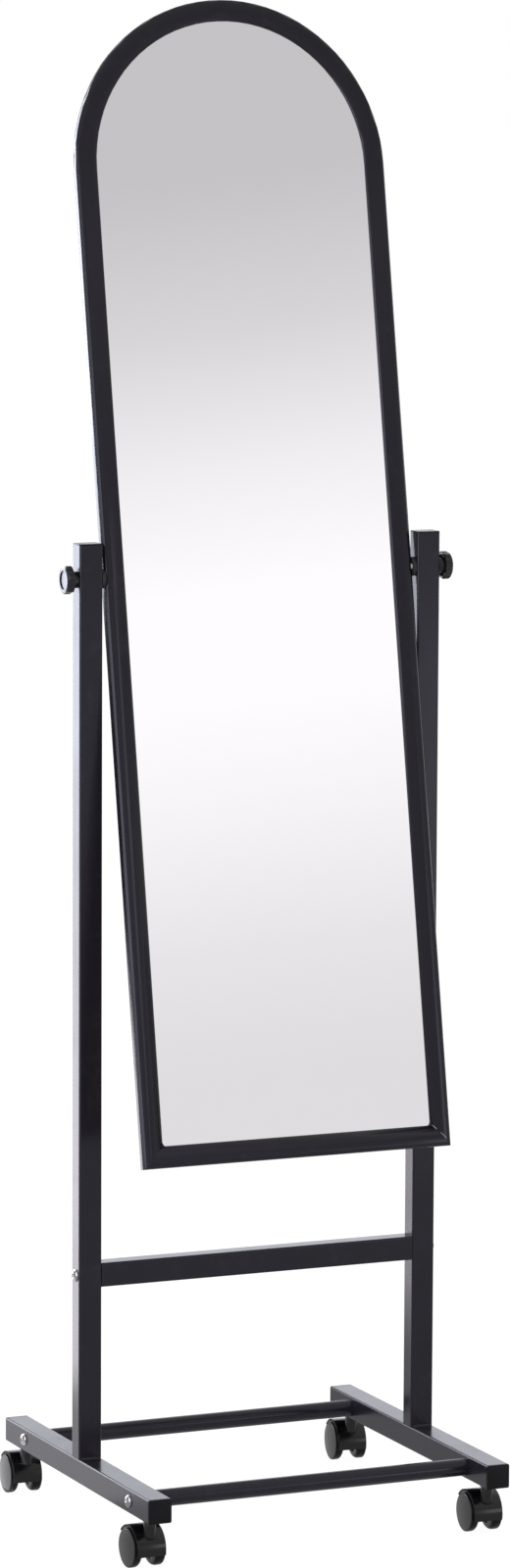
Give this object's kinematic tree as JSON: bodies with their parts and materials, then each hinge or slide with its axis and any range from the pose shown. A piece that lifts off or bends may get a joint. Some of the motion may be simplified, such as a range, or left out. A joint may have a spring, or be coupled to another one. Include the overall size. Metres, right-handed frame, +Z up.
{
  "type": "rolling floor mirror",
  "caption": "Full-length arched mirror that tilts between two posts with side clamping knobs, on a black steel tube base with twin-wheel swivel casters.",
  "frame": {"origin": "centre of the base on the floor: midway between the posts, at the posts' middle depth, at the height where the wheels stand", "axes": "+X to the right as seen from the front, +Y to the back, +Z up; the mirror faces -Y"},
  "size_m": [0.4284, 0.4004, 1.5617],
  "materials": {
    "coated_steel": "black powder coat, semi-gloss",
    "coated_frame": "black coated profile, semi-gloss",
    "cap_plastic": "black, fine grain",
    "knob_plastic": "black, smooth",
    "hood_plastic": "black, glossy",
    "wheel_plastic": "dark grey, satin",
    "zinc_steel": "zinc plated",
    "insert_steel": "yellow zinc plated",
    "spacer_rubber": "black, dull",
    "mirror_glass": "silvered, polished",
    "backing": "brown hardboard"
  },
  "bodies": {
    "stand": {"rail_left": "coated_steel", "rail_right": "coated_steel", "rail_cap_fl": "cap_plastic", "rail_cap_fr": "cap_plastic", "rail_cap_rl": "cap_plastic", "rail_cap_rr": "cap_plastic", "post_left": "coated_steel", "post_right": "coated_steel", "post_cap_left": "cap_plastic", "post_cap_right": "cap_plastic", "crossbar": "coated_steel", "bar_plug_left": "zinc_steel", "bar_plug_right": "zinc_steel", "bar_screw_left": "zinc_steel", "bar_screw_right": "zinc_steel", "rod_front": "coated_steel", "rod_rear": "coated_steel", "rod_screw_fl": "zinc_steel", "rod_screw_fr": "zinc_steel", "rod_screw_rl": "zinc_steel", "rod_screw_rr": "zinc_steel", "socket_fl": "zinc_steel", "socket_fr": "zinc_steel", "socket_rl": "zinc_steel", "socket_rr": "zinc_steel", "stem_fl": "zinc_steel", "stem_fr": "zinc_steel", "stem_rl": "zinc_steel", "stem_rr": "zinc_steel"},
    "mirror": {"frame_arch": "coated_frame", "frame_bottom": "coated_frame", "corner_key_left": "zinc_steel", "corner_key_right": "zinc_steel", "mirror_glass": "mirror_glass", "backing_board": "backing", "pivot_nut_left": "insert_steel", "pivot_nut_right": "insert_steel", "spacer_left": "spacer_rubber", "spacer_right": "spacer_rubber"},
    "knob_l": {"knob_left": "knob_plastic", "knob_bolt_left": "zinc_steel"},
    "knob_r": {"knob_right": "knob_plastic", "knob_bolt_right": "zinc_steel"},
    "caster_fl": {"hood_fl": "hood_plastic", "axle_fl": "zinc_steel"},
    "caster_fr": {"hood_fr": "hood_plastic", "axle_fr": "zinc_steel"},
    "caster_rl": {"hood_rl": "hood_plastic", "axle_rl": "zinc_steel"},
    "caster_rr": {"hood_rr": "hood_plastic", "axle_rr": "zinc_steel"},
    "wheel_fl_a": {"wheel_fl_a": "wheel_plastic"},
    "wheel_fl_b": {"wheel_fl_b": "wheel_plastic"},
    "wheel_fr_a": {"wheel_fr_a": "wheel_plastic"},
    "wheel_fr_b": {"wheel_fr_b": "wheel_plastic"},
    "wheel_rl_a": {"wheel_rl_a": "wheel_plastic"},
    "wheel_rl_b": {"wheel_rl_b": "wheel_plastic"},
    "wheel_rr_a": {"wheel_rr_a": "wheel_plastic"},
    "wheel_rr_b": {"wheel_rr_b": "wheel_plastic"}
  },
  "joints": [
    {"name": "mirror_tilt", "type": "hinge", "parent": "stand", "child": "mirror", "pos_m": [0, 0, 0.9835], "axis": [1, 0, 0], "continuous": true},
    {"name": "knob_left_turn", "type": "hinge", "parent": "mirror", "child": "knob_l", "pos_m": [-0.2, 0, 0.9835], "axis": [-1, 0, 0], "range_deg": [0, 360]},
    {"name": "knob_right_turn", "type": "hinge", "parent": "mirror", "child": "knob_r", "pos_m": [0.2, 0, 0.9835], "axis": [1, 0, 0], "range_deg": [0, 360]},
    {"name": "caster_fl_swivel", "type": "hinge", "parent": "stand", "child": "caster_fl", "pos_m": [-0.1875, -0.167, 0.05], "axis": [0, 0, 1], "continuous": true},
    {"name": "caster_fr_swivel", "type": "hinge", "parent": "stand", "child": "caster_fr", "pos_m": [0.1875, -0.167, 0.05], "axis": [0, 0, 1], "continuous": true},
    {"name": "caster_rl_swivel", "type": "hinge", "parent": "stand", "child": "caster_rl", "pos_m": [-0.1875, 0.167, 0.05], "axis": [0, 0, 1], "continuous": true},
    {"name": "caster_rr_swivel", "type": "hinge", "parent": "stand", "child": "caster_rr", "pos_m": [0.1875, 0.167, 0.05], "axis": [0, 0, 1], "continuous": true},
    {"name": "wheel_fl_a_spin", "type": "hinge", "parent": "caster_fl", "child": "wheel_fl_a", "pos_m": [-0.18813, -0.14901, 0.02], "axis": [0.9994, 0.0349, 0], "continuous": true},
    {"name": "wheel_fl_b_spin", "type": "hinge", "parent": "caster_fl", "child": "wheel_fl_b", "pos_m": [-0.18813, -0.14901, 0.02], "axis": [0.9994, 0.0349, 0], "continuous": true},
    {"name": "wheel_fr_a_spin", "type": "hinge", "parent": "caster_fr", "child": "wheel_fr_a", "pos_m": [0.18797, -0.14901, 0.02], "axis": [0.9997, -0.0262, 0], "continuous": true},
    {"name": "wheel_fr_b_spin", "type": "hinge", "parent": "caster_fr", "child": "wheel_fr_b", "pos_m": [0.18797, -0.14901, 0.02], "axis": [0.9997, -0.0262, 0], "continuous": true},
    {"name": "wheel_rl_a_spin", "type": "hinge", "parent": "caster_rl", "child": "wheel_rl_a", "pos_m": [-0.18656, 0.18498, 0.02], "axis": [0.9986, -0.0523, 0], "continuous": true},
    {"name": "wheel_rl_b_spin", "type": "hinge", "parent": "caster_rl", "child": "wheel_rl_b", "pos_m": [-0.18656, 0.18498, 0.02], "axis": [0.9986, -0.0523, 0], "continuous": true},
    {"name": "wheel_rr_a_spin", "type": "hinge", "parent": "caster_rr", "child": "wheel_rr_a", "pos_m": [0.18923, 0.18492, 0.02], "axis": [0.9954, -0.0958, 0], "continuous": true},
    {"name": "wheel_rr_b_spin", "type": "hinge", "parent": "caster_rr", "child": "wheel_rr_b", "pos_m": [0.18923, 0.18492, 0.02], "axis": [0.9954, -0.0958, 0], "continuous": true}
  ]
}
